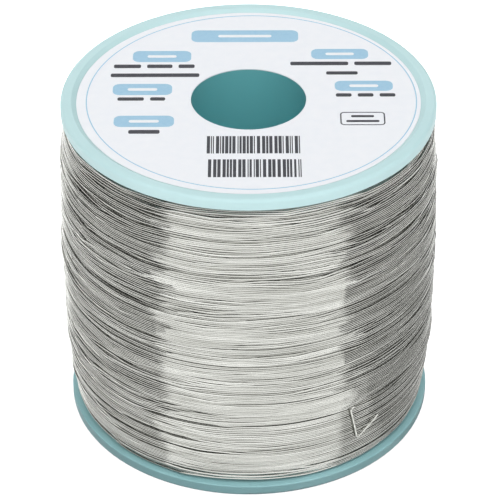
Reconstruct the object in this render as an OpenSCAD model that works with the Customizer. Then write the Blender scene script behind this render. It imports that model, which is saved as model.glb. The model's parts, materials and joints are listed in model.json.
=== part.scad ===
// Solder wire spool: a reel moulded in two halves, its paper face label, the pack of
// wound solder wire, and the two ends of that wire.
// Origin: centre of the underside, on the spool's axis. +Z runs up the axis. Millimetres.

/* [Spool] */
// Diameter of both flanges
flange_d = 60; // [58:0.5:64]
// Height of the spool over both rims
spool_h = 57.5; // [50:0.5:65]
// Thickness of each flange at its rim
flange_t = 1.9; // [1.7:0.1:2.4]
// Radius that rounds the outer edge of each rim
edge_r = 0.6; // [0.3:0.05:0.7]
// Diameter of the bore that takes a spindle
bore_d = 18.4; // [15:0.1:19]
// Outer diameter of the drum that the wire is wound on
drum_d = 32; // [31:0.5:36]
// Wall thickness of the drum and of the bore tube
wall_t = 1.6; // [1.2:0.1:1.8]

/* [Rim and label] */
// Width of the flat top of each raised rim, its rounded edge included
rim_w = 1.75; // [1.3:0.05:2.5]
// Width of the slope between the rim's flat top and the label recess
slope_w = 0.75; // [0.3:0.05:1]
// Depth of the label recess below the rim
recess_h = 0.6; // [0.3:0.05:0.8]
// Thickness of the paper label
label_t = 0.15; // [0.05:0.05:0.2]
// Gap between the label's outer edge and the recess
label_gap = 0.05; // [0.05:0.05:0.3]

/* [Inside the spool] */
// Number of radial ribs between the bore tube and the drum
rib_count = 6; // [3:1:8]
// Thickness of each rib
rib_t = 1.2; // [0.8:0.1:1.6]
// Length of the spigot that plugs the two halves together
spigot_h = 3; // [2:0.5:5]
// Clearance round the spigot
spigot_gap = 0.05; // [0.05:0.01:0.1]
// Diameter of the hole that the wire's inner end comes out by
start_hole_d = 1; // [0.6:0.1:1.2]

/* [Wire] */
// Diameter of the solder wire
wire_d = 0.3; // [0.25:0.05:0.5]
// Diameter of the flux core inside the wire
core_d = 0.13; // [0.1:0.01:0.15]
// Diameter of the wound pack at its crown
crown_d = 61.4; // [60.6:0.1:63]
// How far the pack's surface falls from its crown towards the flanges
shoulder_drop = 1.5; // [0.8:0.1:1.8]
// How far the crown lies above the middle of the pack
crown_rise = 1; // [-2:0.5:2]

/* [Hidden] */

$fn = 96;
MINT = "#BFE0DC";
LABEL_WHITE = "#F3F5F9";
SOLDER = "#B9BAB6";
FLUX = "#C98F2E";

flange_r = flange_d / 2;
bore_r = bore_d / 2;
drum_r = drum_d / 2;
wire_r = wire_d / 2;
recess_r = flange_r - rim_w - slope_w;
half_h = spool_h / 2;
slack = 0.01;                      // how far a cutter runs past the face that it opens
corner_r = 0.2;                    // rounds the inner edge of each rim

// The wound pack fills the space between the flanges.
pack_low = flange_t;
pack_high = spool_h - flange_t;
pack_half_w = (pack_high - pack_low) / 2;
crown_z = (pack_low + pack_high) / 2 + crown_rise;
shoulder_power = 3;
pack_steps = 24;

// The free end lies in a V on the pack: [azimuth in degrees, height].
tail_corner = [-58, 14.7];
tail_fold = [-54.5, 7.6];
tail_tip = [-46.5, 10.5];
tail_root = 3;                     // straight stretch of the last turn, on the hinge line
tail_gap = 0.05;                   // between the free end and the pack
bend_r = 0.7;                      // where the bends start, measured from each corner
root_overlap = 0.1;                // how far the bent wire starts inside its straight root
root_rim = 0.004;                  // how far the root stands proud of the bent wire
leg_steps = 4;
bend_steps = 4;
core_h = 1;

// The inner end comes out of the lower flange and lies in its recess.
start_azimuth = 210;
start_r = drum_r + 0.9;
start_run = 10;
start_bend = 1;

SIDES = 8;                         // sides of a swept wire

// ---------- shapes shared by several parts ----------

// Radius of the pack's surface at height z.
function pack_r(z) =
    crown_d / 2 - shoulder_drop * pow(abs(z - crown_z) / pack_half_w, shoulder_power);

// The point that a wire lying on the pack has at [azimuth, height].
function on_pack(p) =
    let (r = pack_r(p[1]) + wire_r + tail_gap)
    [r * cos(p[0]), r * sin(p[0]), p[1]];

// Points from a towards b, the first at a and the last one step short of b.
function leg(a, b, steps) = [for (i = [0:steps - 1]) a + (b - a) * i / steps];

// Points round the corner b, from a to c, as one curve.
function bend(a, b, c) =
    [for (i = [0:bend_steps]) let (t = i / bend_steps)
        (1 - t) * (1 - t) * a + 2 * t * (1 - t) * b + t * t * c];

function unit(v) = v / norm(v);

// The point at distance d from a, towards b.
function towards(a, b, d) = a + unit(b - a) * d;

// Direction of a path at its point i.
function heading(path, i) =
    unit(path[min(i + 1, len(path) - 1)] - path[max(i - 1, 0)]);

// One ring of a round wire. Its frame is set by the direction away from the spool's axis.
function ring(path, i, r) =
    let (t = heading(path, i),
         side = unit(cross(t, [path[i][0], path[i][1], 0])),
         up = cross(side, t))
    [for (k = [0:SIDES - 1]) let (a = 360 * k / SIDES)
        path[i] + r * (cos(a) * side + sin(a) * up)];

// A round wire along a path, closed at both ends.
module swept_wire(path, r) {
    last = len(path) - 1;
    points = [for (i = [0:last]) each ring(path, i, r)];
    walls = [for (i = [0:last - 1], k = [0:SIDES - 1]) let (n = (k + 1) % SIDES)
        [i * SIDES + k, i * SIDES + n, (i + 1) * SIDES + n, (i + 1) * SIDES + k]];
    start_cap = [[for (k = [0:SIDES - 1]) SIDES - 1 - k]];
    end_cap = [[for (k = [0:SIDES - 1]) last * SIDES + k]];
    polyhedron(points, concat(walls, start_cap, end_cap), convexity = 4);
}

// Half-section of one flange: its outer face is at height 0.
module flange_section() {
    difference() {
        union() {
            translate([bore_r, 0]) square([flange_r - edge_r - bore_r, flange_t]);
            translate([bore_r, edge_r]) square([flange_r - bore_r, flange_t - edge_r - corner_r]);
            translate([flange_r - edge_r, edge_r]) circle(edge_r);
            translate([flange_r - corner_r, flange_t - corner_r]) circle(corner_r);
            translate([bore_r, edge_r])
                square([flange_r - corner_r - bore_r, flange_t - edge_r]);
        }
        recess_section();
    }
}

// Half-section of the label recess: a step for the label's edge, then a slope to the rim.
module recess_section() {
    polygon([[0, -slack], [recess_r + slope_w, -slack], [recess_r + slope_w, 0],
             [recess_r, recess_h - label_t], [recess_r, recess_h], [0, recess_h]]);
}

// One half of the spool, outer face down. It ends at mid-height, where a spigot on one
// half plugs into a socket in the other.
module spool_half(has_spigot) {
    difference() {
        union() {
            rotate_extrude() {
                flange_section();
                tube_section(drum_r - wall_t, drum_r);
                tube_section(bore_r, bore_r + wall_t);
            }
            ribs();
        }
        if (!has_spigot) socket();
    }
    if (has_spigot) spigot();
}

module tube_section(inner_r, outer_r) {
    translate([inner_r, recess_h]) square([outer_r - inner_r, half_h - recess_h]);
}

// Radial ribs that stiffen the hub. They stop short of the spigots.
module ribs() {
    rib_h = half_h - 2 * spigot_h - flange_t;
    inner = bore_r + wall_t / 2;
    for (i = [0:rib_count - 1])
        rotate(i * 360 / rib_count)
            translate([inner, -rib_t / 2, flange_t - slack])
                cube([drum_r - wall_t / 2 - inner, rib_t, rib_h]);
}

// The two thin rings on the lower half that enter the upper half.
module spigot() {
    reach = spigot_h - spigot_gap;
    spigot_ring(drum_r - wall_t, drum_r - wall_t / 2 - spigot_gap, reach);
    spigot_ring(bore_r + wall_t / 2 + spigot_gap, bore_r + wall_t, reach);
}

module spigot_ring(inner_r, outer_r, reach) {
    translate([0, 0, half_h - slack])
        difference() {
            cylinder(r = outer_r, h = reach + slack);
            translate([0, 0, -slack]) cylinder(r = inner_r, h = reach + 3 * slack);
        }
}

// What the spigots need cut out of the upper half.
module socket() {
    translate([0, 0, half_h - spigot_h])
        difference() {
            cylinder(r = drum_r - wall_t / 2, h = spigot_h + slack);
            translate([0, 0, -slack])
                cylinder(r = bore_r + wall_t / 2, h = spigot_h + 3 * slack);
        }
}

// ---------- the parts ----------

module upper_spool_half() {
    color(MINT) translate([0, 0, spool_h]) mirror([0, 0, 1]) spool_half(false);
}

module lower_spool_half() {
    color(MINT)
        difference() {
            spool_half(true);
            rotate(start_azimuth) translate([start_r, 0, 0])
                cylinder(d = start_hole_d, h = flange_t + slack);
        }
}

module face_label() {
    color(LABEL_WHITE) translate([0, 0, spool_h - recess_h])
        difference() {
            cylinder(r = recess_r - label_gap, h = label_t);
            translate([0, 0, -slack])
                cylinder(r = bore_r, h = label_t + 2 * slack);
        }
}

module solder_winding() {
    surface_points = [for (i = [0:pack_steps])
        let (z = pack_low + (pack_high - pack_low) * i / pack_steps) [pack_r(z), z]];
    color(SOLDER) rotate_extrude()
        polygon(concat([[drum_r, pack_high], [drum_r, pack_low]], surface_points));
}

// Down through the start hole, round a bend, and along the recess of the lower flange.
module inner_wire_end() {
    lie_z = recess_h - wire_r - tail_gap;
    top = [start_r, 0, flange_t];
    corner = [start_r, 0, lie_z];
    end = [start_r, -start_run, lie_z];
    path = concat([top], bend(towards(corner, top, start_bend), corner,
                              towards(corner, end, start_bend)), [end]);
    color(SOLDER) rotate(start_azimuth) swept_wire(path, wire_r);
}

// The hinge line runs through the corner, along the turn that the free end hangs from.
function hinge_point(d) =
    on_pack(tail_corner) + d * [-sin(tail_corner[0]), cos(tail_corner[0]), 0];

// Centre line of the free end: off the hinge line, down the pack, and up again.
function tail_path() =
    let (corner = on_pack(tail_corner),
         fold = on_pack(tail_fold),
         down = tail_fold - tail_corner,
         back = tail_tip - tail_fold,
         leg_1 = norm(fold - corner),
         leg_2 = norm(on_pack(tail_tip) - fold),
         down_start = tail_corner + down * bend_r / leg_1,
         down_end = tail_fold - down * bend_r / leg_1,
         back_start = tail_fold + back * bend_r / leg_2)
    concat([hinge_point(bend_r + root_overlap)],
           bend(hinge_point(bend_r), corner, on_pack(down_start)),
           [for (i = [1:leg_steps - 1])
               on_pack(down_start + (down_end - down_start) * i / leg_steps)],
           bend(on_pack(down_end), fold, on_pack(back_start)),
           [for (i = [1:leg_steps])
               on_pack(back_start + (tail_tip - back_start) * i / leg_steps)]);

// Stands its child on a point, pointing towards another point.
module aimed(from, to) {
    d = unit(to - from);
    translate(from) rotate([0, acos(d[2]), atan2(d[1], d[0])]) children();
}

// Stands its child on the cut end of the wire, pointing back along it.
module at_cut_end() {
    path = tail_path();
    last = len(path) - 1;
    aimed(path[last], path[last - 1]) children();
}

module free_wire_end() {
    color(SOLDER)
        difference() {
            union() {
                aimed(hinge_point(bend_r), hinge_point(tail_root))
                    cylinder(r = wire_r, h = tail_root - bend_r);
                swept_wire(tail_path(), wire_r - root_rim);
            }
            at_cut_end() translate([0, 0, -slack]) cylinder(d = core_d, h = core_h + slack);
        }
}

module flux_core() {
    color(FLUX) at_cut_end() cylinder(d = core_d, h = core_h);
}

upper_spool_half();
lower_spool_half();
face_label();
solder_winding();
inner_wire_end();
free_wire_end();
flux_core();
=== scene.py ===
"""Looks of the solder wire spool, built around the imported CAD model."""

import json
import math

import bpy
import numpy as np
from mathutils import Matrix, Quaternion, Vector


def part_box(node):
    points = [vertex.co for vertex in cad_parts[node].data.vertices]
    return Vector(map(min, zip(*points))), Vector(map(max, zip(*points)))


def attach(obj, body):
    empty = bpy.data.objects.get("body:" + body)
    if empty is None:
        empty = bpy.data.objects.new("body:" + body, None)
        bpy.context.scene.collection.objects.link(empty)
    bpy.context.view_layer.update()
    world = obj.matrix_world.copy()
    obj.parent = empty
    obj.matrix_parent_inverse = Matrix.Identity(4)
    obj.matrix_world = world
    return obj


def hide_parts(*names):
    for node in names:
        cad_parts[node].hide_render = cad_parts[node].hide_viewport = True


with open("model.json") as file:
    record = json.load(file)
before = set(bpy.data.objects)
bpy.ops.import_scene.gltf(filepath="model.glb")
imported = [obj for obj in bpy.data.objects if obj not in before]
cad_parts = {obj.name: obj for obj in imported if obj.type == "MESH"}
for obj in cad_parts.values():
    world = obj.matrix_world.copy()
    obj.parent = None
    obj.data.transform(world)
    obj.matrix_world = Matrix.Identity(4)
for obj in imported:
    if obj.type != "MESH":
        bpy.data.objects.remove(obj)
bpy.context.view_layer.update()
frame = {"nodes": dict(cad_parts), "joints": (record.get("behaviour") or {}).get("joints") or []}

MM = 0.001
WIRE_R = 0.15                 # radius of the solder wire, mm, as all shapes below
WIRE_D = 2 * WIRE_R
CORE_R = 0.065                # radius of the flux core
CORE_DEPTH = 1.0              # how deep the flux shows in the cut end
TURN_SIDES = 8                # sides of a wound turn's tube
TAIL_SIDES = 16               # sides of the free end's tube
INNER_SIDES = 12              # sides of the inner end's tube
COLLAR = 0.02                 # share of a tube's first and last stretch that its cap shades
TAIL_GAP = 0.05               # gap between the free end and the pack, as in CAD
LEVEL = 0.002                 # CAD vertices closer in height than this are level


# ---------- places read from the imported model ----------


def box_mm(node):
    """Lowest and highest corner of a CAD node, in mm."""
    low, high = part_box(node)
    return np.array(low) / MM, np.array(high) / MM


def vertices_mm(node):
    """The vertices of a CAD node, in mm."""
    return np.array([v.co for v in frame["nodes"][node].data.vertices], float) / MM


def pack_profile():
    """Heights and radii of the pack's outer surface, from the CAD winding."""
    points = vertices_mm("solder_winding")
    radius = np.hypot(points[:, 0], points[:, 1])
    outside = radius > (radius.min() + radius.max()) / 2
    heights = np.unique(np.round(points[outside, 2], 3))
    radii = [radius[outside & (abs(points[:, 2] - z) < LEVEL)].max() for z in heights]
    return heights, np.array(radii)


PACK_Z, PACK_RADII = pack_profile()
PACK_LOW, PACK_HIGH = PACK_Z[0], PACK_Z[-1]
DRUM_R = np.hypot(*vertices_mm("solder_winding")[:, :2].T).min()
SPOOL_TOP = box_mm("upper_spool_half")[1][2]
LABEL_TOP = box_mm("face_label")[1][2]
BORE_R = np.hypot(*vertices_mm("upper_spool_half")[:, :2].T).min()


def pack_r(z):
    """Radius of the pack's surface at height z."""
    return np.interp(z, PACK_Z, PACK_RADII)


# ---------- mesh building ----------


def unit(v):
    """Vectors of length one in the directions given."""
    return v / np.linalg.norm(v, axis=-1, keepdims=True)


def mesh_object(name, points, faces, smooth=True):
    """A mesh object from points in mm and faces of any number of corners."""
    mesh = bpy.data.meshes.new(name)
    corners = np.concatenate([np.asarray(f, np.int32).ravel() for f in faces])
    sizes = np.concatenate([np.full(len(f), len(f[0]), np.int32) for f in faces])
    starts = np.concatenate([[0], np.cumsum(sizes)[:-1]]).astype(np.int32)
    mesh.vertices.add(len(points))
    mesh.vertices.foreach_set("co", (np.asarray(points) * MM).astype(np.float32).ravel())
    mesh.loops.add(len(corners))
    mesh.loops.foreach_set("vertex_index", corners)
    mesh.polygons.add(len(sizes))
    mesh.polygons.foreach_set("loop_start", starts)
    mesh.polygons.foreach_set("use_smooth", np.full(len(sizes), smooth))
    mesh.update(calc_edges=True)
    mesh.validate()
    obj = bpy.data.objects.new(name, mesh)
    bpy.context.scene.collection.objects.link(obj)
    return obj


def loft(name, rings):
    """A closed skin over rings, an array of (ring, corner, xyz), capped at both ends.
    One more ring just before each cap keeps the cap out of the walls' smooth shading."""
    after_first = rings[0] + (rings[1] - rings[0]) * COLLAR
    before_last = rings[-1] + (rings[-2] - rings[-1]) * COLLAR
    rings = np.concatenate([rings[:1], [after_first], rings[1:-1], [before_last], rings[-1:]])
    count, sides = rings.shape[:2]
    i = np.arange(count - 1)[:, None] * sides
    k = np.arange(sides)[None, :]
    n = (k + 1) % sides
    walls = np.stack([i + k, i + n, i + n + sides, i + k + sides], -1).reshape(-1, 4)
    caps = np.stack([np.arange(sides)[::-1], (count - 1) * sides + np.arange(sides)])
    return mesh_object(name, rings.reshape(-1, 3), [walls, caps])


def rings_along(path, sides, outward):
    """Rings of the round wire along a path, each turned so that outward is its up."""
    ahead = np.concatenate([path[1:], path[-1:]])
    behind = np.concatenate([path[:1], path[:-1]])
    along = unit(ahead - behind)
    across = unit(np.cross(along, outward))
    up = np.cross(across, along)
    turn = 2 * math.pi * np.arange(sides)[None, :, None] / sides
    return path[:, None] + WIRE_R * (np.cos(turn) * across[:, None] + np.sin(turn) * up[:, None])


def from_axis(path):
    """From the spool's axis to each point of a path."""
    return path * [1, 1, 0]


def lathe(name, section, around):
    """A closed ring swept from a closed section of (radius, height)."""
    n = len(section)
    turn = 2 * math.pi * np.arange(around) / around
    points = np.stack([
        section[:, 0][:, None] * np.cos(turn),
        section[:, 0][:, None] * np.sin(turn),
        np.broadcast_to(section[:, 1][:, None], (n, around)),
    ], -1)
    i = np.arange(n)[:, None]
    k = np.arange(around)[None, :]
    j, m = (i + 1) % n, (k + 1) % around
    walls = np.stack([i * around + k, i * around + m, j * around + m, j * around + k], -1)
    return mesh_object(name, points.reshape(-1, 3), [walls.reshape(-1, 4)])


# ---------- the winding ----------

SEED = 7                      # fixes all random draws of the winding
COLUMNS = 192                 # samples in one turn
ROW = 0.01                    # height step of the support field, mm
REACH = round(WIRE_D / ROW)   # rows that a turn raises above and below itself
BLOCK = 96                    # samples laid at a time
AHEAD = 20                    # samples looked at beyond each block
NOISE_GAIN = 1.25             # makes up for the spread that smoothing takes from noise

PITCH = 0.37                  # how far the feed moves in one turn
JITTER = 0.04                 # unsteadiness of the feed
JITTER_STEPS = 50, 17         # samples between its fresh values, slow and fast
FAST_SHARE = 0.6              # strength of the fast part beside the slow one
CLEARANCE = 0.3               # least distance between turns side by side
TOP_GAP = 0.75                # space left under the upper flange
LAYER = 0.262                 # how far apart the layers lie
LAST_LAYER = 1.2, 0.6         # the outermost ends from this far below to this far above the root
BELOW = 0.07                  # how far the wound surface lies inside the CAD pack
PROUD = 0.2                   # how far a turn may stand out of the CAD pack
BUMP = 0.02                   # unevenness of the turns under the visible ones
BUMP_BANDS = (1.3, 5), (3.1, 4)       # height of its bands in mm and cells round the pack
TUCK = 0.5                    # how far the uppermost turns draw in
TUCK_FROM, TUCK_OVER = 1.8, 1.3       # where that starts below the top, and its height

GAPS = 11.0                   # gaps opened per turn
GAP_LEAST = 0.04              # their least width
GAP_WIDTH = 0.06              # their usual width on top of that
GAP_SAMPLES = 20, 76          # their length in samples, from and to
GAP_ENDS = 10                 # samples over which they open and close
STRAYS = 14                   # turns that swing back over others
STRAY_SAMPLES = 30, 80        # how long each swing lasts
STRAY_SHIFT = 0.35, 0.7       # how far it goes
CALM_SIDES = 12               # samples beside the free end where turns lie calm
CALM_BELOW, CALM_ABOVE = 10, 4        # heights below and above its root where they do

SLIDE = 0.2                   # how far a turn may slide sideways into a groove
SLIDE_STEPS = 17              # offsets tried within that
STIFFNESS = 3.0               # how much a wire resists sideways bends
BLUR = np.array([1, 2, 3, 2, 1]) / 9  # smooths the offsets along the wire
TAUT_R = 30.0                 # radius that a taut wire runs round


def smooth_noise(rng, length, step):
    """A smooth random curve with a fresh value every `step` samples."""
    knots = rng.normal(size=int(length / step) + 4)
    x = np.arange(length) / step + 1
    i = x.astype(int)
    t = x - i
    t = t * t * (3 - 2 * t)
    return (knots[i] * (1 - t) + knots[i + 1] * t) * NOISE_GAIN


def ring_noise(rng, rows, band, cells):
    """Random bumps over (height, column): bands `band` mm high and 1/cells of a turn long."""
    knots = rng.normal(size=(int(rows * ROW / band) + 4, cells))
    z = np.arange(rows) * ROW / band
    a = np.arange(COLUMNS) / COLUMNS * cells
    z0, a0 = z.astype(int), a.astype(int)
    a1 = (a0 + 1) % cells
    tz, ta = z - z0, a - a0
    tz = (tz * tz * (3 - 2 * tz))[:, None]
    ta = (ta * ta * (3 - 2 * ta))[None, :]
    low = knots[z0][:, a0] * (1 - ta) + knots[z0][:, a1] * ta
    high = knots[z0 + 1][:, a0] * (1 - ta) + knots[z0 + 1][:, a1] * ta
    return (low * (1 - tz) + high * tz) * NOISE_GAIN


def taut(height, first):
    """The line of a taut wire over the support heights, from height `first` on."""
    n = len(height)
    x = np.arange(n)
    bow = TAUT_R * (x * 2 * math.pi / COLUMNS) ** 2 / 2
    level = height - bow
    level[0] = first
    g = level.tolist()
    hull = []
    for i in range(n):
        while len(hull) >= 2:
            a, b = hull[-2], hull[-1]
            if (g[b] - g[a]) * (i - a) > (g[i] - g[a]) * (b - a):
                break
            hull.pop()
        hull.append(i)
    return np.interp(x, hull, level[hull]) + bow


def settle(energy, offsets, start):
    """The cheapest smooth run of sideways offsets through energy[sample, offset]."""
    n, m = energy.shape
    jump = STIFFNESS * (offsets[:, None] - offsets[None, :]) ** 2
    cost = energy[0] + STIFFNESS * (offsets - start) ** 2
    came = np.zeros((n, m), int)
    for i in range(1, n):
        total = cost[None, :] + jump
        came[i] = total.argmin(1)
        cost = total.min(1) + energy[i]
    path = np.zeros(n, int)
    path[-1] = cost.argmin()
    for i in range(n - 1, 0, -1):
        path[i - 1] = came[i, path[i]]
    return offsets[path]


def near_tail(feed, at, length, tail_z):
    """Whether samples at to at + length pass under the free end, where the turns lie calm."""
    column = (at + length // 2 - len(feed) + 1 + COLUMNS // 2) % COLUMNS - COLUMNS // 2
    beside = abs(column) < length // 2 + CALM_SIDES
    return beside and tail_z - CALM_BELOW < feed[at] < tail_z + CALM_ABOVE


def open_gaps(rng, feed, layer, tail_z):
    """Opens gaps between neighbouring turns, which the next few turns close again."""
    count = len(feed)
    for _ in range(int(GAPS * count / COLUMNS)):
        at = rng.integers(0, count - COLUMNS)
        length = rng.integers(*GAP_SAMPLES)
        x = np.minimum(np.arange(length), np.arange(length)[::-1]) / GAP_ENDS
        shape = np.clip(x, 0, 1)
        shape = shape * shape * (3 - 2 * shape)
        wide = GAP_LEAST + rng.exponential(GAP_WIDTH)
        turns = int(wide / (PITCH - CLEARANCE)) + 1
        way = 1 if (at // layer) % 2 else -1
        if near_tail(feed, at, length, tail_z):
            continue
        for k in range(turns):
            start = at + k * COLUMNS
            if start + length >= count or (start + length) // layer != at // layer:
                break
            feed[start:start + length] += way * wide * (1 - k / turns) * shape


def keep_apart(feed, layer):
    """Pushes each turn clear of the one before it in its layer."""
    for start in range(COLUMNS, len(feed), COLUMNS):
        now = feed[start:start + COLUMNS]
        before = feed[start - COLUMNS:start][:len(now)]
        way = 1 if (start // layer) % 2 else -1
        if (start - COLUMNS) // layer == (start + COLUMNS) // layer:
            now[:] = way * np.maximum(way * now, way * before + CLEARANCE)


def stray_turns(rng, feed, layer, tail_z):
    """Lets a few turns swing back over the ones before them."""
    for _ in range(STRAYS):
        at = rng.integers(COLUMNS, len(feed) - 2 * COLUMNS)
        length = rng.integers(*STRAY_SAMPLES)
        back = -1 if (at // layer) % 2 else 1
        shift = back * rng.uniform(*STRAY_SHIFT)
        if not near_tail(feed, at, length, tail_z):
            swing = np.sin(np.pi * np.arange(length) / (length - 1)) ** 2
            feed[at:at + length] += shift * swing


def feed_heights(rng, z_low, z_high, tail_z):
    """Height of the feed at each sample: down, up, then down to the free end."""
    span = z_high - z_low
    layer = int(span / PITCH * COLUMNS)
    count = 2 * layer + int((z_high - tail_z) / PITCH * COLUMNS)
    moved = np.arange(count) / COLUMNS * PITCH
    feed = z_low + abs(moved % (2 * span) - span)
    slow, fast = (smooth_noise(rng, count, step) for step in JITTER_STEPS)
    feed += JITTER * (slow + FAST_SHARE * fast)
    open_gaps(rng, feed, layer, tail_z)
    keep_apart(feed, layer)
    stray_turns(rng, feed, layer, tail_z)
    return feed, layer


def row_at(z):
    """The support field's row nearest to a height."""
    return np.rint((z - PACK_LOW) / ROW).astype(int)


def support_field(rng, tail_z):
    """Radius of a wire's centre where it first touches what is there, over (row, column)."""
    rows = int((PACK_HIGH - PACK_LOW) / ROW) + 1
    z = PACK_LOW + np.arange(rows) * ROW
    layers = np.interp(z, [tail_z - LAST_LAYER[0], tail_z + LAST_LAYER[1]], [2.0, 3.0])
    tall, taller = (BUMP * ring_noise(rng, rows, *band) for band in BUMP_BANDS)
    tuck = TUCK * np.clip((z - PACK_HIGH + TUCK_FROM) / TUCK_OVER, 0, 1)
    level = pack_r(z) - BELOW - tuck - WIRE_R - (layers - 1) * LAYER
    return level[:, None] + (tall + taller)


def slide_aside(support, wanted, columns, offset, limits):
    """Slides a stretch of wire sideways into grooves. Returns its heights and its offsets."""
    offsets = np.linspace(-SLIDE, SLIDE, SLIDE_STEPS)
    tried = np.clip(wanted[:, None] + offsets, *limits)
    energy = support[row_at(tried), columns[:, None]] + offsets ** 2
    slid = settle(energy, offsets, offset)
    slid = np.convolve(np.concatenate([[offset] * 2, slid, [slid[-1]] * 2]), BLUR, "valid")
    return np.clip(wanted + slid, *limits), slid


def raise_support(support, z, r, columns):
    """Raises the support field where a stretch of wire now lies."""
    row = row_at(z)[:, None] + np.arange(-REACH, REACH + 1)
    aside = row * ROW + PACK_LOW - z[:, None]
    top = r[:, None] + np.sqrt(np.maximum(WIRE_D ** 2 - aside ** 2, 0))
    inside = (row >= 0) & (row < len(support)) & (abs(aside) < WIRE_D)
    row = np.clip(row, 0, len(support) - 1)
    column = np.broadcast_to(columns[:, None], row.shape)
    before = support[row, column]
    support[row, column] = np.where(inside, np.maximum(before, top), before)


def lay_wire(tail_azimuth, tail_z):
    """Lays the outer three layers turn by turn on a support field that each turn raises.
    Returns azimuth, height and radius of the wire's centre, and where the second layer starts."""
    rng = np.random.default_rng(SEED)
    support = support_field(rng, tail_z)
    limits = PACK_LOW + WIRE_R, PACK_HIGH - WIRE_R - TOP_GAP
    feed, layer = feed_heights(rng, *limits, tail_z)
    count = len(feed)
    turned = (np.arange(count) - count + 1) / COLUMNS
    column = np.round(turned * COLUMNS).astype(int) % COLUMNS
    z, r = np.zeros(count), np.zeros(count)
    offset = 0.0
    radius = support[int((feed[0] - PACK_LOW) / ROW), column[0]]
    for at in range(0, count, BLOCK):
        end = min(at + BLOCK, count)
        laid = end - at
        columns = column[at:end + AHEAD]
        place, slid = slide_aside(support, feed[at:end + AHEAD], columns, offset, limits)
        under = support[row_at(place), columns]
        line = taut(np.concatenate([[radius], under]), radius)[1:]
        line = np.minimum(line, pack_r(place) - WIRE_R + PROUD)
        z[at:end] = place[:laid]
        r[at:end] = line[:laid]
        offset, radius = slid[laid - 1], r[end - 1]
        raise_support(support, z[at:end], r[at:end], columns[:laid])
    azimuth = tail_azimuth - 2 * math.pi * turned
    return azimuth, z, r, layer


LIFT = 10                     # samples over which the last turn leaves the pack for the root
PIECE_TURNS = 62              # turns in each visible piece of the winding
CORE_SIDES = 96               # sides of the pack under the visible layers
RIDGE = 0.1                   # height of its ridges
RIDGE_STEPS = 7               # section points in each


def hermite(start, slope, end, arrive, steps):
    """Points of a smooth curve that leaves start along slope and reaches end along arrive."""
    t = np.linspace(0, 1, steps + 1)[:, None]
    return ((2 * t**3 - 3 * t**2 + 1) * start + (t**3 - 2 * t**2 + t) * slope
            + (3 * t**2 - 2 * t**3) * end + (t**3 - t**2) * arrive)


def winding_path():
    """Centre line of the visible layers, ending where the free end's root begins."""
    root = tail_root_start()
    azimuth, z, r, layer = lay_wire(math.atan2(root[1], root[0]), root[2])
    path = np.stack([r * np.cos(azimuth), r * np.sin(azimuth), z], 1)[layer:]
    start, slope = path[-LIFT - 1], (path[-LIFT] - path[-LIFT - 2]) / 2 * LIFT
    arrive = -hinge_direction() * np.linalg.norm(root - start)
    path[-LIFT - 1:] = hermite(start, slope, root, arrive, LIFT)
    return path


def build_winding(material):
    """The wound wire as closed tubes of some 60 turns each, and the pack under them."""
    path = winding_path()
    step = PIECE_TURNS * COLUMNS
    pieces = []
    for i, at in enumerate(range(0, len(path) - 1, step)):
        part = path[max(at - 1, 0):at + step + 2]
        rings = rings_along(part, TURN_SIDES, from_axis(part))
        first = 1 if at else 0
        last = len(rings) - 1 if at + step + 1 < len(path) else None
        pieces.append(loft(f"winding_turns_{i + 1}", rings[first:last]))
    pieces.append(build_winding_core())
    for piece in pieces:
        finish_piece(piece, "reel", "solder_alloy", material, "solder_winding")


def build_winding_core():
    """The wire pack under the visible layers, ridged like the turns it stands for."""
    rows = int((PACK_HIGH - PACK_LOW) / PITCH)
    z = np.linspace(PACK_LOW, PACK_HIGH, rows * RIDGE_STEPS + 1)
    phase = (np.arange(len(z)) % RIDGE_STEPS) / RIDGE_STEPS
    outer = pack_r(z) - WIRE_D - 2 * LAYER + RIDGE * np.sin(np.pi * phase)
    section = np.concatenate([np.stack([outer, z], 1), [[DRUM_R, PACK_HIGH], [DRUM_R, PACK_LOW]]])
    return lathe("winding_core", section, CORE_SIDES)


# ---------- the free end and the inner end ----------

TAIL_FOLD = (-54.5, 7.6)      # azimuth in degrees and height, as in the CAD source
TAIL_TIP = (-46.5, 10.5)
TAIL_ROOT = 3.0               # length of the straight root that the hinge runs along
BEND_R = 0.7                  # how far before and after a corner its bend starts and ends
BEVEL_SHARE = 0.93            # the cut end narrows to this share of its radius
BEVEL_BACK = 0.012            # length of that bevel
INNER_AZIMUTH = 210.0         # where the inner end comes out, in degrees
INNER_R = DRUM_R + 0.9        # and how far from the axis
INNER_BEND = 1.0              # how far before and after its corner its bend starts and ends
INNER_RUN = 10.0              # its length along the lower flange


def on_pack(azimuth, z):
    """The centre of a wire that lies on the pack, at an azimuth in degrees and a height."""
    r = pack_r(z) + WIRE_R + TAIL_GAP
    a = math.radians(azimuth)
    return np.array([r * math.cos(a), r * math.sin(a), z])


def hinge_corner():
    """The point on the hinge where the free end turns down."""
    return np.array(frame["joints"][0]["pos_m"]) / MM


def hinge_direction():
    """Along the hinge line, from the corner back to the winding."""
    return -np.array(frame["joints"][0]["axis"], float)


def tail_root_start():
    """Where the winding ends and the free end's root begins."""
    return hinge_corner() + TAIL_ROOT * hinge_direction()


def arc(a, b, c, steps):
    """Points of a smooth bend from a to c, round the corner b."""
    t = np.linspace(0, 1, steps)[:, None]
    return (1 - t) ** 2 * a + 2 * t * (1 - t) * b + t ** 2 * c


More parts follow.
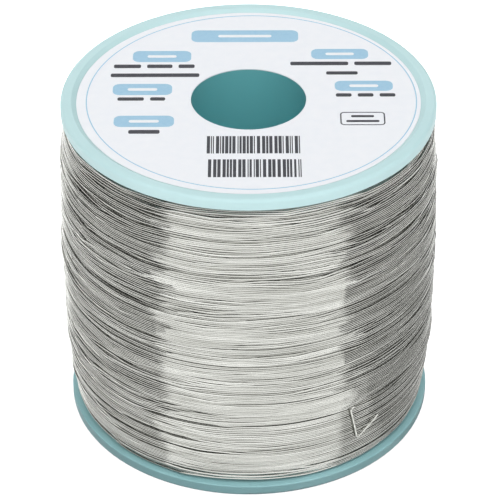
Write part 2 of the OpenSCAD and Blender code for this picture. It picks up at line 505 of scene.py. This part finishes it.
def tail_path():
    """Centre line of the free end, from its root on the winding to the cut end."""
    corner = hinge_corner()
    corner_azimuth = math.degrees(math.atan2(corner[1], corner[0]))
    fold, tip = on_pack(*TAIL_FOLD), on_pack(*TAIL_TIP)

    def between(a, b, share):
        return on_pack(a[0] + (b[0] - a[0]) * share, a[1] + (b[1] - a[1]) * share)

    top = (corner_azimuth, corner[2])
    down, back = BEND_R / np.linalg.norm(fold - corner), BEND_R / np.linalg.norm(tip - fold)
    root = tail_root_start()
    bend_start = corner + BEND_R * hinge_direction()
    parts = [
        np.linspace(root, bend_start, 6)[:-1],
        arc(bend_start, corner, between(top, TAIL_FOLD, down), 10),
        np.array([between(top, TAIL_FOLD, s) for s in np.linspace(down, 1 - down, 14)[1:-1]]),
        arc(between(top, TAIL_FOLD, 1 - down), fold, between(TAIL_FOLD, TAIL_TIP, back), 10),
        np.array([between(TAIL_FOLD, TAIL_TIP, s) for s in np.linspace(back, 1, 12)[1:]]),
    ]
    return np.concatenate(parts)


def build_free_end(material):
    """The bent free end, with a bore in its cut end round the flux core."""
    path = tail_path()
    outer = rings_along(path, TAIL_SIDES, from_axis(path))
    back = unit(path[-2] - path[-1])
    end = outer[-1]
    centre = path[-1]
    bevel = centre + (end - centre) * BEVEL_SHARE
    outer[-1] = end + back * BEVEL_BACK
    lip = centre + (end - centre) * CORE_R / WIRE_R
    floor = lip + back * CORE_DEPTH
    rings = np.concatenate([outer, [bevel, lip, floor]])
    tube = loft("free_wire_tube", rings)
    finish_piece(tube, "free_end", "solder_alloy", material, "free_wire_end")


def build_inner_end(material):
    """The inner end of the wire: out of its hole and along the lower recess."""
    low, high = box_mm("inner_wire_end")
    lie_z = low[2] + WIRE_R
    turn = math.radians(INNER_AZIMUTH)
    out = np.array([math.cos(turn), math.sin(turn), 0])
    side = np.array([math.sin(turn), -math.cos(turn), 0])
    top = INNER_R * out + [0, 0, high[2]]
    corner = INNER_R * out + [0, 0, lie_z]
    end = corner + INNER_RUN * side
    path = np.concatenate([
        [top], arc(corner + [0, 0, INNER_BEND], corner, corner + INNER_BEND * side, 12),
        np.linspace(corner + INNER_BEND * side, end, 10)[1:],
    ])
    rings = rings_along(path, INNER_SIDES, out)
    tube = loft("inner_wire_tube", rings)
    finish_piece(tube, "reel", "solder_alloy", material, "inner_wire_end")


# ---------- the print on the label ----------

INK_T = 0.012                 # thickness of the printed ink


def rounded_outline(x, y, w, h, corner, steps=5):
    """Corners of a rounded rectangle centred at (x, y)."""
    points = []
    for k, (sx, sy) in enumerate(((1, 1), (-1, 1), (-1, -1), (1, -1))):
        cx, cy = x + sx * (w / 2 - corner), y + sy * (h / 2 - corner)
        for a in np.linspace(k, k + 1, steps):
            turn = math.pi / 2 * a
            points.append((cx + corner * math.cos(turn), cy + corner * math.sin(turn)))
    return np.array(points)


def plate(outline, low, high):
    """Points and faces of a thin closed plate with this outline."""
    n = len(outline)
    points = np.concatenate([
        np.column_stack([outline, np.full(n, low)]),
        np.column_stack([outline, np.full(n, high)]),
    ])
    k = np.arange(n)
    m = (k + 1) % n
    walls = np.stack([k, m, m + n, k + n], 1)
    caps = np.stack([k[::-1], k + n])
    return points, walls, caps


def band(outer, inner, low, high):
    """Points and faces of a thin closed frame between two outlines of as many corners."""
    n = len(outer)
    points = np.concatenate([np.column_stack([o, np.full(n, z)])
                             for z in (low, high) for o in (outer, inner)])
    k = np.arange(n)
    m = (k + 1) % n
    walls = np.concatenate([
        np.stack([k, m, m + 2 * n, k + 2 * n], 1),
        np.stack([m + n, k + n, k + 3 * n, m + 3 * n], 1),
        np.stack([k + 2 * n, m + 2 * n, m + 3 * n, k + 3 * n], 1),
        np.stack([m, k, k + n, m + n], 1),
    ])
    return points, walls


def printed(name, shapes):
    """One mesh from several plates and frames."""
    points, faces, start = [], {}, 0
    for shape in shapes:
        points.append(shape[0])
        for group in shape[1:]:
            faces.setdefault(group.shape[1], []).append(group + start)
        start += len(shape[0])
    return mesh_object(name, np.concatenate(points),
                       [np.concatenate(f) for f in faces.values()], smooth=False)


# Centre and size of each printed field on the label, in mm. The widest one is the title bar.
HEADINGS = ((-0.6, 19.7, 17.6, 3.8), (-14.1, 13.2, 9.5, 3.5), (-17.0, 2.9, 9.5, 3.4),
            (-16.5, -6.7, 9.5, 3.3),
            (14.9, 13.9, 9.3, 3.2), (18.5, 3.9, 9.3, 3.1))
# Centre, height and word widths of each line of small print, shown as plain bars.
LINES = (
    (-15.3, 10.1, 2.0, (4.4, 4.1, 2.6)), (-15.1, 7.3, 2.0, (14.3,)),
    (-17.1, 0.0, 1.8, (4.2, 2.4)), (-16.4, -9.8, 2.0, (4.9,)),
    (15.0, 10.9, 2.0, (9.4, 6.0)), (15.1, 7.9, 1.8, (5.1,)),
    (18.7, 1.1, 1.8, (2.5, 2.5, 2.5)),
)
FIELD_CORNER = 1.1
WORD_GAP = 1.0                # between the bars of one line
BAR_SHARE = 0.55              # height of a bar, as a share of its line's
BAR_CORNER = 0.3
DASH_SHARE = 0.5              # width of the white dash in a field, as a share of the field's
DASH_H, DASH_CORNER = 0.8, 0.35
RING_R, RING_W = 26.3, 0.18   # radius and width of the thin printed ring
RING_SIDES = 240
RING_CENTRE = 0.46, 0.12      # the print sits a little off the paper's middle
MARK = 18.0, -6.0, 7.1, 3.9   # centre and size of the outlined box
MARK_LINE = 0.22              # thickness of its outline
MARK_CORNER = 0.7
MARK_BARS = (0.7, 3.6), (-0.75, 5.2)  # height in the box and width of each bar in it
MARK_BAR_H, MARK_BAR_CORNER = 0.6, 0.2
# Centre, size and seed of each block of stripes.
STRIPES = (0.9, -13.6, 14.8, 5.0, 3), (1.1, -20.3, 14.7, 5.0, 4)
STRIPE_WIDTHS = 0.17, 0.34, 0.5, 0.5
STRIPE_GAPS = 0.14, 0.14, 0.3
STRIPE_CORNER = 0.02


def build_label_print(blue, dark, white):
    """Plain bars, blocks and stripes where the label carries print."""
    low, high = LABEL_TOP - INK_T / 2, LABEL_TOP + INK_T
    blues = [plate(rounded_outline(*field, FIELD_CORNER), low, high) for field in HEADINGS]
    blues.append(printed_ring(low, high))
    darks = []
    for x, y, h, words in LINES:
        at = x - (sum(words) + WORD_GAP * (len(words) - 1)) / 2
        for w in words:
            bar = rounded_outline(at + w / 2, y, w, h * BAR_SHARE, BAR_CORNER)
            darks.append(plate(bar, low, high))
            at += w + WORD_GAP
    darks += mark_box(*MARK, low, high)
    for block in STRIPES:
        darks += stripes(*block, low, high)
    dashes = [plate(rounded_outline(x, y, w * DASH_SHARE, DASH_H, DASH_CORNER),
                    high - INK_T / 2, high + INK_T) for x, y, w, h in HEADINGS]
    for name, shapes, material in (("label_print_blue", blues, blue),
                                   ("label_print_dark", darks, dark),
                                   ("label_print_white", dashes, white)):
        finish_piece(printed(name, shapes), "reel", "label_paper", material)


def printed_ring(low, high):
    """The thin ring printed round the label, near its edge."""
    turn = 2 * math.pi * np.arange(RING_SIDES) / RING_SIDES
    circle = np.column_stack([np.cos(turn), np.sin(turn)])
    return band(circle * (RING_R + RING_W / 2) + RING_CENTRE,
                circle * (RING_R - RING_W / 2) + RING_CENTRE, low, high)


def mark_box(x, y, w, h, low, high):
    """An outlined box with two plain bars in it."""
    outer = rounded_outline(x, y, w, h, MARK_CORNER)
    inner = rounded_outline(x, y, w - 2 * MARK_LINE, h - 2 * MARK_LINE, MARK_CORNER - MARK_LINE)
    bars = [plate(rounded_outline(x, y + dy, wide, MARK_BAR_H, MARK_BAR_CORNER), low, high)
            for dy, wide in MARK_BARS]
    return [band(outer, inner, low, high)] + bars


def stripes(x, y, w, h, seed, low, high):
    """A block of upright stripes of mixed widths, with no digits."""
    rng = np.random.default_rng(seed)
    shapes = []
    at = x - w / 2
    while at < x + w / 2 - max(STRIPE_GAPS):
        thick = rng.choice(STRIPE_WIDTHS)
        stripe = rounded_outline(at + thick / 2, y, thick, h, STRIPE_CORNER, 2)
        shapes.append(plate(stripe, low, high))
        at += thick + rng.choice(STRIPE_GAPS)
    return shapes


# ---------- materials ----------

# Colours as 0 to 255 sRGB values. A pair is the two ends that a material's colour varies between.
UPPER_MINT = (198, 230, 231), (203, 234, 235)
# The lower half is the same plastic as the upper one, painted darker and deeper teal as shade.
SHADED_LOWER_MINT = (163, 213, 217), (172, 220, 224)
# Painted shade inside the bore: its walls darker and deeper teal.
BORE_SHADE_MINT = (125, 205, 209)
BORE_SHADE_FADE = 0.02, 0.3         # mm outside the bore's wall where its painted shade starts and stops fading
SOLDER = (176, 176, 170), (208, 208, 203)
PAPER = (246, 248, 252), (250, 251, 254)
FLUX = (176, 118, 36), (208, 150, 62)
BLUE_INK = (160, 203, 228), (168, 208, 231)
DARK_INK = (44, 45, 53), (54, 55, 63)
WHITE_INK = (244, 247, 250), (250, 251, 253)


class Nodes:
    """A Principled material with helpers that add and link nodes."""

    def __init__(self, name):
        self.material = bpy.data.materials.new(name)
        self.material.use_nodes = True
        self.tree = self.material.node_tree
        self.shader = self.tree.nodes["Principled BSDF"]
        self.place = self.add("ShaderNodeTexCoord").outputs["Object"]

    def add(self, kind, **inputs):
        """A new node with some inputs set. An underscore stands for a space in their names."""
        node = self.tree.nodes.new(kind)
        for key, value in inputs.items():
            node.inputs[key.replace("_", " ")].default_value = value
        return node

    def link(self, a, b):
        """Links an output to an input."""
        self.tree.links.new(a, b)

    def set(self, **values):
        """Sets inputs of the shader itself."""
        for key, value in values.items():
            self.shader.inputs[key.replace("_", " ")].default_value = value

    def noise(self, scale, detail, stretch=None):
        """Noise over the object, with a scale in cycles per metre."""
        node = self.add("ShaderNodeTexNoise", Scale=scale, Detail=detail)
        if stretch is None:
            self.link(self.place, node.inputs["Vector"])
            return node.outputs["Fac"]
        mapping = self.add("ShaderNodeMapping")
        mapping.inputs["Scale"].default_value = stretch
        self.link(self.place, mapping.inputs["Vector"])
        self.link(mapping.outputs["Vector"], node.inputs["Vector"])
        return node.outputs["Fac"]

    def ramp(self, value, low, high, a, b):
        """Runs from linear colour a at `low` to linear colour b at `high`."""
        node = self.add("ShaderNodeValToRGB")
        ends = node.color_ramp.elements
        ends[0].position, ends[1].position = low, high
        ends[0].color, ends[1].color = (*a, 1), (*b, 1)
        self.link(value, node.inputs["Fac"])
        return node.outputs["Color"]

    def spread(self, value, low, high):
        """Maps noise round 0.5 to the range from low to high."""
        node = self.add("ShaderNodeMapRange", From_Min=0.3, From_Max=0.7, To_Min=low, To_Max=high)
        self.link(value, node.inputs["Value"])
        return node.outputs["Result"]

    def bump(self, value, depth, strength):
        """Bumps the surface by a value, with a depth in metres."""
        node = self.add("ShaderNodeBump", Strength=strength, Distance=depth)
        self.link(value, node.inputs["Height"])
        self.link(node.outputs["Normal"], self.shader.inputs["Normal"])


def linear(r, g, b):
    """A colour given as 0 to 255 sRGB values, in linear light."""
    def one(c):
        c /= 255
        return c / 12.92 if c <= 0.04045 else ((c + 0.055) / 1.055) ** 2.4
    return one(r), one(g), one(b)


def mint_plastic(name, colours):
    """Moulded plastic, with painted shade inside the bore: darker and deeper teal there."""
    m = Nodes(name)
    m.set(IOR=1.5, Specular_IOR_Level=0.38)
    colour = m.ramp(m.noise(90, 4), 0.35, 0.65, *(linear(*c) for c in colours))
    flat = m.add("ShaderNodeVectorMath")
    flat.operation = "MULTIPLY"
    flat.inputs[1].default_value = (1, 1, 0)
    m.link(m.place, flat.inputs[0])
    radius = m.add("ShaderNodeVectorMath")
    radius.operation = "LENGTH"
    m.link(flat.outputs["Vector"], radius.inputs[0])
    # Painted shade: near the bore's wall the colour fades to its darker teal.
    start, stop = ((BORE_R + shade_edge) * MM for shade_edge in BORE_SHADE_FADE)
    outside = m.add("ShaderNodeMapRange", From_Min=start, From_Max=stop)
    m.link(radius.outputs["Value"], outside.inputs["Value"])
    mix = m.add("ShaderNodeMix")
    mix.data_type = "RGBA"
    m.link(outside.outputs["Result"], mix.inputs["Factor"])
    m.link(colour, mix.inputs[7])
    mix.inputs[6].default_value = (*linear(*BORE_SHADE_MINT), 1)
    m.link(mix.outputs[2], m.shader.inputs["Base Color"])
    m.link(m.spread(m.noise(700, 3), 0.38, 0.5), m.shader.inputs["Roughness"])
    m.bump(m.noise(2500, 2), 0.00001, 0.4)
    return m.material


def solder_metal():
    """Bright solder, with fine streaks of tarnish that run along the turns."""
    m = Nodes("solder_metal")
    m.set(Metallic=1.0)
    streaks = m.noise(60, 3, (1, 1, 30))
    colour = m.ramp(streaks, 0.35, 0.65, *(linear(*c) for c in SOLDER))
    m.link(colour, m.shader.inputs["Base Color"])
    m.link(m.spread(m.noise(900, 3), 0.07, 0.12), m.shader.inputs["Roughness"])
    return m.material


def grainy(m, colours, grain, roughness):
    """Gives a material two-tone grain and uneven gloss. A grain is (scale, detail)."""
    colour = m.ramp(m.noise(*grain[0]), 0.3, 0.7, *(linear(*c) for c in colours))
    m.link(colour, m.shader.inputs["Base Color"])
    m.link(m.spread(m.noise(*grain[1]), *roughness), m.shader.inputs["Roughness"])


def label_paper():
    """Matt white paper with a faint fibre grain."""
    m = Nodes("label_paper")
    m.set(IOR=1.45)
    grainy(m, PAPER, ((600, 5), (1500, 3)), (0.42, 0.52))
    m.bump(m.noise(6000, 2), 0.000006, 0.3)
    return m.material


def ink(name, colours):
    """Printed ink of slightly uneven tone."""
    m = Nodes(name)
    grainy(m, colours, ((1800, 4), (2500, 2)), (0.4, 0.55))
    return m.material


def flux_resin():
    """Amber resin, as at the cut end of cored solder."""
    m = Nodes("flux_resin")
    m.set(IOR=1.54)
    grainy(m, FLUX, ((9000, 3), (12000, 2)), (0.15, 0.3))
    return m.material


def matt_sheet(name, levels, roughness):
    """A matt grey sheet for the stage, which varies between two levels of linear light."""
    m = Nodes(name)
    low, high = ((level,) * 3 for level in levels)
    m.link(m.ramp(m.noise(3, 2), 0.3, 0.7, low, high), m.shader.inputs["Base Color"])
    m.set(Roughness=roughness, Specular_IOR_Level=0.0)
    return m


def glowing_sheet(name, level, glow):
    """A pale sheet that also gives light, so that it comes out evenly bright."""
    m = matt_sheet(name, (level, level + 0.02), 0.8)
    m.set(Emission_Color=(1, 1, 1, 1), Emission_Strength=glow)
    return m.material


def finish_piece(obj, body, slot, material, *nodes):
    """Gives a piece its material and body, and hides the nodes it stands for; its slot is not
    used.
    """
    obj.data.materials.append(material)
    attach(obj, body)
    if nodes:
        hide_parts(*nodes)


def dress_node(name, material):
    """Gives a CAD node that stays visible its finished material."""
    obj = frame["nodes"][name]
    obj.data.materials.clear()
    obj.data.materials.append(material)


# ---------- camera, light and floor ----------

# The camera, as fitted to edges in the photograph. Distances in metres, lens and sensor in mm.
CAMERA_ELEVATION = math.radians(34.67)
CAMERA_DISTANCE = 0.4675
CAMERA_LENS = 203.6
CAMERA_SENSOR = 36.0
CAMERA_ROLL = math.radians(-0.122)
AIM_X = 0.18 * MM
AIM_SHARE = 0.4824            # height of the aim, as a share of the spool's height
VIEW_Y = math.cos(CAMERA_ELEVATION)

# Strength of the studio's light by direction. The lune is the strip of sky, between two
# meridians, that the winding mirrors as its bright band.
LUNE = math.tan(math.radians(28.5))   # its half-width
LUNE_EDGE = 1.06, 0.94        # where its light starts and is full, as shares of that
LUNE_LEAN = 0.035             # how far it leans to the right
LEAST_ROOM = 0.02             # least divisor, so that the lune ends where it narrows to nothing
ABOVE, FRONT = 2.15, 0.6      # strength in the lune, from above and from lower down
ABOVE_Z = 0.55, 0.75          # the direction's z over which the first takes over
DIM = 0.02                    # strength outside the lune
BACK = 0.9                    # strength behind the object, except on the right
BACK_Y, BACK_X = (0.55, 0.8), (0.3, 0.0)      # the direction's y and x over which it sets in
OVER = 0.06                   # added overhead, towards the back
OVER_Y, OVER_Z = (-0.1, 0.1), (0.5, 0.6)      # and where that sets in
SHEEN = 1.2                   # how much brighter the light is in glossy surfaces
LIGHT_COLOUR = (0.98, 0.99, 1.0, 1)

SHADED_MIDDLE_R = 100                 # radius of the floor's middle, which throws no light back and where the part sees painted shade, mm
FLOOR_R = 2500
FLOOR_LOOK = 0.9, 0.75        # level of its colour and strength of its glow
BACKDROP_Z, BACKDROP_RIM = -5, 3000   # the backdrop's height and the radius of its raised border
SHADE_R, SHADE_Z = 50, 0.3    # the grey sheet that only reflections see, a painted shadow on the floor at the right
SHADE_CENTRE = 64, 16
SHADE_LOOK = 0.46, 0.4
CARD_Z = -0.05                # the dark card under the floor's middle: painted shade that the part sees there in place of the bright floor
CARD_LEVELS = 0.03, 0.04
DISC_SIDES = 96


def build_camera():
    """The camera at the photograph's viewing angle."""
    data = bpy.data.cameras.new("camera")
    data.lens = CAMERA_LENS
    data.sensor_width = CAMERA_SENSOR
    data.clip_start, data.clip_end = 0.01, 50.0
    camera = bpy.data.objects.new("camera", data)
    bpy.context.scene.collection.objects.link(camera)
    forward = Vector((0, math.cos(CAMERA_ELEVATION), -math.sin(CAMERA_ELEVATION)))
    aim = Vector((AIM_X, 0, SPOOL_TOP * MM * AIM_SHARE))
    camera.location = aim - forward * CAMERA_DISTANCE
    camera.rotation_mode = "QUATERNION"
    camera.rotation_quaternion = (forward.to_track_quat("-Z", "Y")
                                  @ Quaternion((0, 0, 1), CAMERA_ROLL))
    bpy.context.scene.camera = camera


class Sky:
    """The world's node tree, with helpers that compute a strength from the direction."""

    def __init__(self, name):
        world = bpy.data.worlds.new(name)
        bpy.context.scene.world = world
        world.use_nodes = True
        self.tree = world.node_tree
        self.background = self.tree.nodes["Background"]

    def math(self, kind, *values):
        """A math node over numbers and outputs of other nodes."""
        node = self.tree.nodes.new("ShaderNodeMath")
        node.operation = kind
        for socket, value in zip(node.inputs, values):
            if isinstance(value, (int, float)):
                socket.default_value = value
            else:
                self.tree.links.new(value, socket)
        return node.outputs[0]

    def step(self, value, low, high):
        """Rises smoothly from 0 at `low` to 1 at `high`."""
        node = self.tree.nodes.new("ShaderNodeMapRange")
        node.interpolation_type = "SMOOTHSTEP"
        node.inputs["From Min"].default_value = low
        node.inputs["From Max"].default_value = high
        self.tree.links.new(value, node.inputs["Value"])
        return node.outputs["Result"]

    def direction(self):
        """The x, y and z of the direction looked in."""
        place = self.tree.nodes.new("ShaderNodeTexCoord")
        split = self.tree.nodes.new("ShaderNodeSeparateXYZ")
        self.tree.links.new(place.outputs["Generated"], split.inputs[0])
        return split.outputs


def build_world():
    """A studio of soft boxes: a lune of light in front and above, dim sides, a pale back."""
    sky = Sky("studio")
    x, y, z = sky.direction()
    room = sky.math("SUBTRACT", VIEW_Y, y)
    aside = sky.math("ABSOLUTE", sky.math("SUBTRACT", x, sky.math("MULTIPLY", room, LUNE_LEAN)))
    share = sky.math("DIVIDE", aside, sky.math("MAXIMUM", room, LEAST_ROOM))
    lune = sky.step(share, *(LUNE * edge for edge in LUNE_EDGE))
    front = sky.math("MULTIPLY_ADD", sky.step(z, *ABOVE_Z), ABOVE - FRONT, FRONT)
    back = sky.math("MULTIPLY", sky.step(y, *BACK_Y), sky.step(x, *BACK_X))
    dim = sky.math("MULTIPLY_ADD", back, BACK - DIM, DIM)
    over = sky.math("MULTIPLY", sky.step(y, *OVER_Y), sky.step(z, *OVER_Z))
    dim = sky.math("MULTIPLY_ADD", over, OVER, dim)
    level = sky.math("ADD", sky.math("MULTIPLY", lune, sky.math("SUBTRACT", front, dim)), dim)
    ray = sky.tree.nodes.new("ShaderNodeLightPath")
    gain = sky.math("MULTIPLY_ADD", ray.outputs["Is Glossy Ray"], SHEEN - 1, 1.0)
    level = sky.math("MULTIPLY", level, gain)
    sky.tree.links.new(level, sky.background.inputs["Strength"])
    sky.background.inputs["Color"].default_value = LIGHT_COLOUR


def disc(name, radius, z, material, rim=0.0, hole=0.0, centre=(0, 0)):
    """A flat round sheet on the stage, with a raised curved border when rim is set."""
    turn = 2 * math.pi * np.arange(DISC_SIDES) / DISC_SIDES
    shares = (0, 1) if hole else (0.05, 0.3, 1)
    curve = [(hole + (radius - hole) * share, 0.0) for share in shares]
    if rim:
        curve += [(radius + rim * math.sin(a), rim * (1 - math.cos(a)))
                  for a in np.linspace(0, math.pi / 2, 9)[1:]]
    points = [[centre[0] + r * math.cos(a), centre[1] + r * math.sin(a), z + h]
              for r, h in curve for a in turn]
    i = np.arange(len(curve) - 1)[:, None] * DISC_SIDES
    k = np.arange(DISC_SIDES)[None, :]
    n = (k + 1) % DISC_SIDES
    walls = np.stack([i + k, i + k + DISC_SIDES, i + n + DISC_SIDES, i + n], -1).reshape(-1, 4)
    middle = [] if hole else [np.arange(DISC_SIDES)[None, :]]
    obj = mesh_object(name, np.array(points), [walls] + middle)
    obj.data.materials.append(material)
    return obj


def build_stage():
    """A white floor as on a light table, whose middle throws no light back at the part, a dark
    card under that as painted shade, a white backdrop, and a grey sheet of painted shadow that
    only reflections see."""
    white = glowing_sheet("floor", *FLOOR_LOOK)
    disc("studio_floor", FLOOR_R, 0, white, hole=SHADED_MIDDLE_R)
    middle = disc("studio_floor_middle", SHADED_MIDDLE_R, 0, white)
    middle.visible_diffuse = False
    # Painted shade: a dark card that the part sees under the floor's middle.
    card = disc("studio_painted_shade_card", SHADED_MIDDLE_R, CARD_Z, matt_sheet("painted_shade_card", CARD_LEVELS, 0.9).material)
    card.visible_camera = False
    card.visible_glossy = False
    card.visible_shadow = False
    grey = glowing_sheet("shade", *SHADE_LOOK)
    shade = disc("studio_shade", SHADE_R, SHADE_Z, grey, centre=SHADE_CENTRE)
    shade.visible_camera = False
    shade.visible_diffuse = False
    shade.visible_shadow = False
    backdrop = disc("studio_backdrop", FLOOR_R, BACKDROP_Z, white, rim=BACKDROP_RIM)
    backdrop.visible_diffuse = False
    backdrop.visible_glossy = False
    backdrop.visible_shadow = False
    build_world()
    bpy.context.scene.view_settings.view_transform = "Standard"


def main():
    """Builds all pieces, dresses the CAD nodes that stay, and sets the stage."""
    build_camera()
    solder = solder_metal()
    upper = mint_plastic("mint_plastic", UPPER_MINT)
    # The lower half gets a copy of the plastic with painted shade.
    lower = mint_plastic("mint_plastic_shaded_lower", SHADED_LOWER_MINT)
    paper = label_paper()
    build_winding(solder)
    build_free_end(solder)
    build_inner_end(solder)
    build_label_print(ink("ink_blue", BLUE_INK), ink("ink_dark", DARK_INK),
                      ink("ink_white", WHITE_INK))
    dress_node("upper_spool_half", upper)
    dress_node("lower_spool_half", lower)
    dress_node("face_label", paper)
    dress_node("flux_core", flux_resin())
    build_stage()


main()
